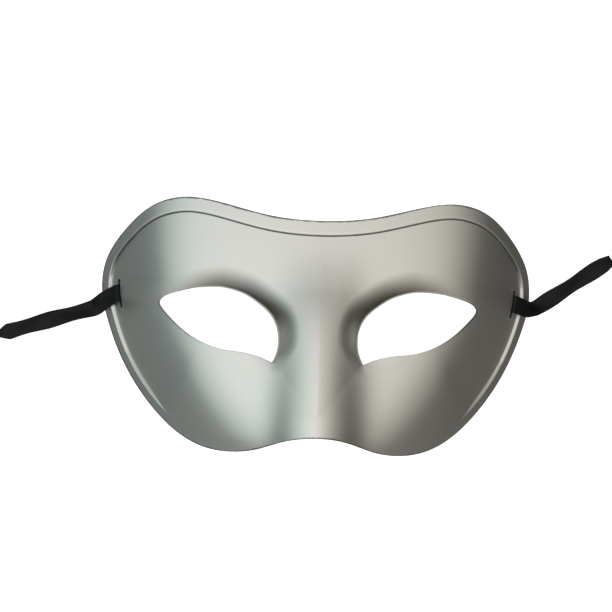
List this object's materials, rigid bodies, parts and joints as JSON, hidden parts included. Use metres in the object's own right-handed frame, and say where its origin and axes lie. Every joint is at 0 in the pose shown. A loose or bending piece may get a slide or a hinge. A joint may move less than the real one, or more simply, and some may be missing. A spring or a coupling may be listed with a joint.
{
  "type": "half mask",
  "caption": "Thin moulded half mask with almond eye openings, a nose ridge, a raised border and a flat tie ribbon through a slot at each temple.",
  "frame": {"origin": "middle of the mask's outline in plan, on the surface that its temple edges rest on", "axes": "+X to the right side of the mask as it is looked at, +Y to its brow, +Z out of its face"},
  "size_m": [0.2563, 0.1025, 0.0587],
  "materials": {
    "silver_paint": "satin metallic silver paint on moulded plastic",
    "black_satin": "woven satin with a soft sheen"
  },
  "bodies": {
    "root": {"mask_shell": "silver_paint", "ribbon_left": "black_satin", "ribbon_right": "black_satin"}
  },
  "joints": []
}
